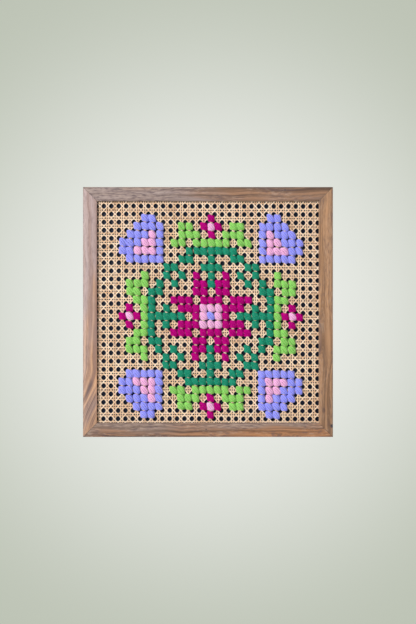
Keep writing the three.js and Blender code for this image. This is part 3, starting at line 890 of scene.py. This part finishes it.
def embroidery():
    # each yarn's second colour is a darker copy of it, its painted shade
    finishes = {
        "violet": yarn("yarn_violet", srgb(170, 172, 255), srgb(136, 139, 255)),
        "magenta": yarn("yarn_magenta", srgb(200, 0, 134), srgb(152, 0, 101)),
        "pink": yarn("yarn_pink", srgb(255, 196, 236), srgb(232, 164, 212)),
        "dark_green": yarn("yarn_dark_green", srgb(40, 158, 124), srgb(22, 118, 94)),
        "light_green": yarn("yarn_light_green", srgb(158, 224, 116), srgb(126, 196, 90)),
    }
    runs = [
        *whole_run("star", STAR, "magenta"),
        *whole_run("star_ring", STAR_RING, "pink"),
        *whole_run("star_centre", STAR_CENTRE, "violet"),
        *whole_run("wreath", WREATH, "dark_green"),
        *side_runs("leaf_spray", LEAF_SPRAY, "light_green"),
        *side_runs("blossom", BLOSSOM, "magenta"),
        *side_runs("blossom_centre", BLOSSOM_CENTRE, "pink"),
        *corner_runs("heart", HEART, "violet"),
        *corner_runs("heart_centre", HEART_CENTRE, "pink"),
    ]
    for name, cells, colour in runs:
        rng = random.Random(f"stitches of {name}")
        paths = [strand for u, v in cells for strand in cross_stitch(rng, u, v)]
        curve = strand_curve(paths)
        curve.bevel_depth = STRAND_RADIUS
        curve.bevel_resolution = 1
        columns = math.ceil(math.sqrt(len(paths)))
        mesh = strand_mesh(curve, [STRAND_POINTS] * len(paths), columns, sheet_at(WEB_FRONT))
        piece(f"stitches_{name}", mesh, finishes[colour], "panel", f"yarn_{colour}", f"yarn_{name}")


# Fittings on the back


def turned(points, steps=40):
    """A solid turned round the Y axis from (radius, y) points."""
    bm = bmesh.new()
    verts = [bm.verts.new((radius, y, 0)) for radius, y in points]
    edges = [bm.edges.new(pair) for pair in zip(verts, verts[1:])]
    settings = {"axis": (0, 1, 0), "cent": (0, 0, 0), "angle": math.tau, "steps": steps, "use_merge": True}
    bmesh.ops.spin(bm, geom=[*verts, *edges], **settings)
    recalculate(bm)
    return bm


def arc(x, y, radius, start, end, steps):
    """Points on an arc, with its angles in degrees."""
    angles = [math.radians(start + (end - start) * n / steps) for n in range(steps + 1)]
    return [(x + radius * math.cos(angle), y + radius * math.sin(angle)) for angle in angles]


def screw_blank(length):
    """A pan-head screw along Y, with its head towards +Y on the plane y = 0."""
    edge = SCREW_HEAD_HEIGHT * SCREW_HEAD_ROUND
    head = [(SCREW_HEAD * SCREW_HEAD_FOOT, 0)]
    head += arc(SCREW_HEAD - edge, SCREW_HEAD_HEIGHT - edge, edge, 0, SCREW_HEAD_TURN, 6)
    point = [(0, -length), (SCREW_SHANK, SCREW_POINT - length), (SCREW_SHANK, 0)]
    return turned([*point, *head, (0, SCREW_HEAD_HEIGHT)])


def cross_recess():
    """Two crossed blades that taper downwards."""
    bm = bmesh.new()
    for turn in (0, math.pi / 2):
        made = bmesh.ops.create_cube(bm, size=1)["verts"]
        for vert in made:
            narrow = RECESS_TAPER if vert.co.y < 0 else 1.0
            vert.co.x *= 2 * RECESS_REACH * narrow
            vert.co.z *= RECESS_WIDTH * (narrow + 1) / 2
            vert.co.y *= 2 * RECESS_DEPTH
        bmesh.ops.rotate(bm, verts=made, cent=(0, 0, 0), matrix=Matrix.Rotation(turn, 3, "Y"))
    bmesh.ops.translate(bm, verts=bm.verts, vec=(0, SCREW_HEAD_HEIGHT, 0))
    recalculate(bm)
    return bm


def screw(node, turn):
    """A screw in its place, with a cross recess turned by so many radians."""
    low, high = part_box(node)
    head = Vector(((low.x + high.x) / 2, high.y - SCREW_HEAD_HEIGHT, (low.z + high.z) / 2))
    blank = bpy.data.objects.new("screw_blank", mesh_from(screw_blank(head.y - low.y)))
    cutter = bpy.data.objects.new("screw_recess", mesh_from(cross_recess()))
    bpy.context.scene.collection.objects.link(cutter)
    recess = blank.modifiers.new("recess", "BOOLEAN")
    recess.object = cutter
    recess.operation = "DIFFERENCE"
    recess.solver = "EXACT"
    recess.use_self = True
    mesh = evaluated(blank)
    bpy.data.objects.remove(cutter)
    mesh.transform(Matrix.Translation(head) @ Matrix.Rotation(turn, 4, "Y"))
    mesh.shade_smooth()
    mesh.set_sharp_from_angle(angle=math.radians(35))
    return mesh


def button_mesh(quarter):
    """A flat bar with round ends and a hole for its screw, drawn for the top rail and turned by quarters."""
    low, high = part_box("turn_button_top")
    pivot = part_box("turn_screw_top")[1].z - SCREW_HEAD
    radius = (high.x - low.x) / 2
    bm = bmesh.new()
    flat = Matrix.Rotation(math.pi / 2, 4, "X") @ Matrix.Rotation(math.pi / BUTTON_SIDES, 4, "Z")
    settings = {"segments": BUTTON_SIDES, "matrix": flat}
    rim = bmesh.ops.create_circle(bm, radius=radius, **settings)["verts"]
    bmesh.ops.create_circle(bm, radius=SCREW_SHANK + SCREW_PLAY, **settings)
    bmesh.ops.bridge_loops(bm, edges=bm.edges)
    lower = [vert for vert in rim if vert.co.z < 0]
    bmesh.ops.translate(bm, verts=lower, vec=(0, 0, low.z - high.z + 2 * radius))
    grown = bmesh.ops.extrude_face_region(bm, geom=bm.faces[:])["geom"]
    raised = [item for item in grown if isinstance(item, bmesh.types.BMVert)]
    bmesh.ops.translate(bm, verts=raised, vec=(0, high.y - low.y, 0))
    recalculate(bm)
    soften(bm, sharp_edges(bm, 60), BUTTON_EDGE)
    bmesh.ops.translate(bm, verts=bm.verts, vec=(0, low.y, pivot))
    turn = Matrix.Rotation(-quarter * math.pi / 2, 3, "Y")
    bmesh.ops.rotate(bm, verts=bm.verts, cent=(0, 0, 0), matrix=turn)
    return mesh_from(bm)


def turn_buttons(brass):
    first_turn, next_turn = BUTTON_SCREW_TURN
    for quarter, side in enumerate(SIDES):
        button = button_mesh(quarter)
        piece(f"brass_button_{side}", button, brass, f"button_{side}", "brass", f"turn_button_{side}")
        driven = screw(f"turn_screw_{side}", first_turn + next_turn * quarter)
        piece(f"brass_screw_{side}", driven, brass, "panel", "brass", f"turn_screw_{side}")


def strap_mesh(node, axis):
    """A strip with round corners at its foot, folded back round the ring's wire."""
    low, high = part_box(node)
    inner = WIRE + KNUCKLE_PLAY + STRAP_THICK / 2  # from the ring's axis to the middle of the strip
    bm = bmesh.new()
    flat = [(axis.y - inner, low.z), (axis.y - inner, (low.z + axis.z) / 2)]
    fold = arc(axis.y, axis.z, inner, 180, KNUCKLE_END, 18)
    verts = [bm.verts.new((low.x, y, z)) for y, z in [*flat, *fold]]
    edges = [bm.edges.new(pair) for pair in zip(verts, verts[1:])]
    grown = bmesh.ops.extrude_edge_only(bm, edges=edges)["geom"]
    moved = [item for item in grown if isinstance(item, bmesh.types.BMVert)]
    bmesh.ops.translate(bm, verts=moved, vec=(high.x - low.x, 0, 0))
    foot = [vert for vert in bm.verts if vert.co.z < low.z + CAD_WELD]
    settings = {"offset_type": "OFFSET", "affect": "VERTICES", "profile": 0.5, "material": -1}
    bmesh.ops.bevel(bm, geom=foot, offset=STRAP_CORNER, segments=6, **settings)
    bmesh.ops.recalc_face_normals(bm, faces=bm.faces)
    bmesh.ops.solidify(bm, geom=bm.faces[:], thickness=STRAP_THICK)
    recalculate(bm)
    depths = [vert.co.y for vert in bm.verts if vert.co.z < axis.z - STRAP_FOLD]
    middle = sum(depths) / len(depths)
    bmesh.ops.translate(bm, verts=bm.verts, vec=(0, axis.y - inner - middle, 0))
    soften(bm, sharp_edges(bm, 60), STRAP_EDGE, 2)
    return mesh_from(bm)


def ring_mesh(node, axis):
    """A closed D of wire that stands up from its axis."""
    low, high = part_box(node)
    half = (high.x - low.x) / 2 - WIRE
    shoulder = RING_CORNER + RING_STRAIGHT
    line = arc(half - RING_CORNER, RING_CORNER, RING_CORNER, -90, 0, 8)
    line += arc(0, shoulder, half, 0, 180, 32)
    line += arc(RING_CORNER - half, RING_CORNER, RING_CORNER, 180, 270, 8)
    curve = strand_curve([[(x, y, 0.0, 1.0) for x, y in line]])
    curve.splines[0].use_cyclic_u = True
    curve.bevel_depth = WIRE
    curve.bevel_resolution = 5
    mesh = evaluated(bpy.data.objects.new("ring", curve))
    mesh.transform(Matrix.Translation(axis) @ Matrix.Rotation(math.pi / 2, 4, "X"))
    mesh.shade_smooth()
    return mesh


def hangers(steel):
    swings = {joint["name"]: Vector(joint["pos_m"]) for joint in frame["joints"]}
    for side, turn in HANGER_SCREW_TURN.items():
        axis = swings[f"ring_{side}_swing"]
        strap, ring = f"hanger_strap_{side}", f"hanger_ring_{side}"
        piece(f"steel_strap_{side}", strap_mesh(strap, axis), steel, "panel", "steel", strap)
        piece(f"steel_ring_{side}", ring_mesh(ring, axis), steel, f"ring_{side}", "steel", ring)
        driven = screw(f"hanger_screw_{side}", turn)
        piece(f"steel_screw_{side}", driven, steel, "panel", "steel", f"hanger_screw_{side}")


def corner_nails(steel):
    for corner in CORNERS:
        node = frame["nodes"][f"corner_nail_{corner}"]
        node.data.materials.clear()
        node.data.materials.append(steel)


def wall_pads():
    finish = rubber()
    for side in ("left", "right"):
        low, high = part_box(f"wall_pad_{side}")
        radius, thick = (high.x - low.x) / 2, high.y - low.y
        rim = arc(radius - PAD_ROUND, thick - PAD_ROUND, PAD_ROUND, 0, 90, 8)
        foot = [(0, 0), (radius - PAD_EDGE, 0), (radius, PAD_EDGE)]
        dish_from, dish_depth = PAD_DISH
        dish = [(radius * dish_from, thick - dish_depth), (0, thick - PAD_EDGE)]
        bm = turned([*foot, *rim, *dish])
        middle = ((low.x + high.x) / 2, low.y, (low.z + high.z) / 2)
        bmesh.ops.translate(bm, verts=bm.verts, vec=middle)
        piece(f"rubber_pad_{side}", mesh_from(bm), finish, "panel", "pad_rubber", f"wall_pad_{side}")


# Stage, light and camera


def studio_glow(nodes, kind, drawn):
    """Draws a colour for the camera and in reflections, and otherwise lights the object evenly."""
    path = nodes.node("ShaderNodeLightPath", output="Is Camera Ray")
    seen = path.larger(path.output("Is Glossy Ray")).larger(path.output("Is Transmission Ray"))
    even = nodes.node(kind, {}, {"Color": srgb(246, 248, 250), "Strength": EVEN_LIGHT})
    shown = nodes.node(kind, {}, {"Color": drawn, "Strength": 1.0})
    return nodes.node("ShaderNodeMixShader", {}, {0: seen, 1: even, 2: shown})


def studio_world():
    """A pale backdrop. From the front it is lightest behind the panel, with a deeper ring round that,
    painted light and shade drawn for the camera.
    """
    world = bpy.data.worlds.new("studio")
    bpy.context.scene.world = world
    world.use_nodes = True
    world.node_tree.nodes.clear()
    sky = Nodes(world.node_tree)
    way = sky.node("ShaderNodeTexCoord", output="Generated")
    x = sky.node("ShaderNodeSeparateXYZ", {}, {0: way}, output="X")
    y, z = x.output("Y"), x.output("Z")
    aside = (x * x + z * z).root()
    halo = aside.between(*HALO_RISE) * (1 - aside.between(*HALO_FALL)) * y.between(*HALO_FRONT)
    glow = studio_glow(sky, "ShaderNodeBackground", sky.mixed(halo, BACKDROP, HALO))
    sky.node("ShaderNodeOutputWorld", {}, {"Surface": glow}, None)


def studio_floor():
    """A pale floor that runs out into the backdrop's colour."""
    bm = bmesh.new()
    bmesh.ops.create_circle(bm, cap_ends=True, segments=64, radius=FLOOR_RADIUS)
    bmesh.ops.translate(bm, verts=bm.verts, vec=(0, 0, -FLOOR_DROP))
    paint = Finish("floor_paint", roughness=0.85, specular_ior_level=0.2)
    scuffs = paint.noise(paint.place((3, 3, 3)), 4, 0.6)
    paint.set(base_color=paint.mixed(scuffs, srgb(228, 230, 226), srgb(238, 240, 236)))
    x, y = paint.axis("X"), paint.axis("Y")
    far = (x * x + y * y).root().between(FLOOR_NEAR, FLOOR_FAR)
    glow = studio_glow(paint, "ShaderNodeEmission", BACKDROP)
    near = Value(paint, paint.shader.outputs[0])
    run_out = paint.node("ShaderNodeMixShader", {}, {0: far, 1: near, 2: glow})
    paint.put(paint.tree.nodes["Material Output"].inputs["Surface"], run_out)
    mesh = mesh_from(bm)
    mesh.materials.append(paint.material)
    floor = bpy.data.objects.new("studio_floor", mesh)
    bpy.context.scene.collection.objects.link(floor)


def lamps():
    for name, (place, size, energy) in LAMPS.items():
        data = bpy.data.lights.new(name, "AREA")
        data.shape = "DISK"
        data.size = size
        data.energy = energy
        obj = bpy.data.objects.new(name, data)
        obj.location = place
        obj.rotation_euler = (-Vector(place)).to_track_quat("-Z", "Y").to_euler()
        bpy.context.scene.collection.objects.link(obj)


def camera():
    data = bpy.data.cameras.new("camera")
    data.lens = LENS
    data.sensor_width = SENSOR
    obj = bpy.data.objects.new("camera", data)
    obj.location = (0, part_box("rail_top")[0].y - CAMERA_DISTANCE, 0)
    obj.rotation_euler = (math.pi / 2, 0, 0)
    bpy.context.scene.collection.objects.link(obj)
    bpy.context.scene.camera = obj


frame_rails()
inside_the_rebate()
cane_web()
embroidery()
turn_buttons(metal("brass", srgb(214, 182, 112), srgb(170, 138, 80), 0.26))
zinc = metal("zinc", srgb(214, 216, 218), srgb(170, 172, 175), 0.28)
hangers(zinc)
corner_nails(zinc)
wall_pads()
bpy.context.scene.view_settings.view_transform = "Standard"
studio_world()
studio_floor()
lamps()
camera()
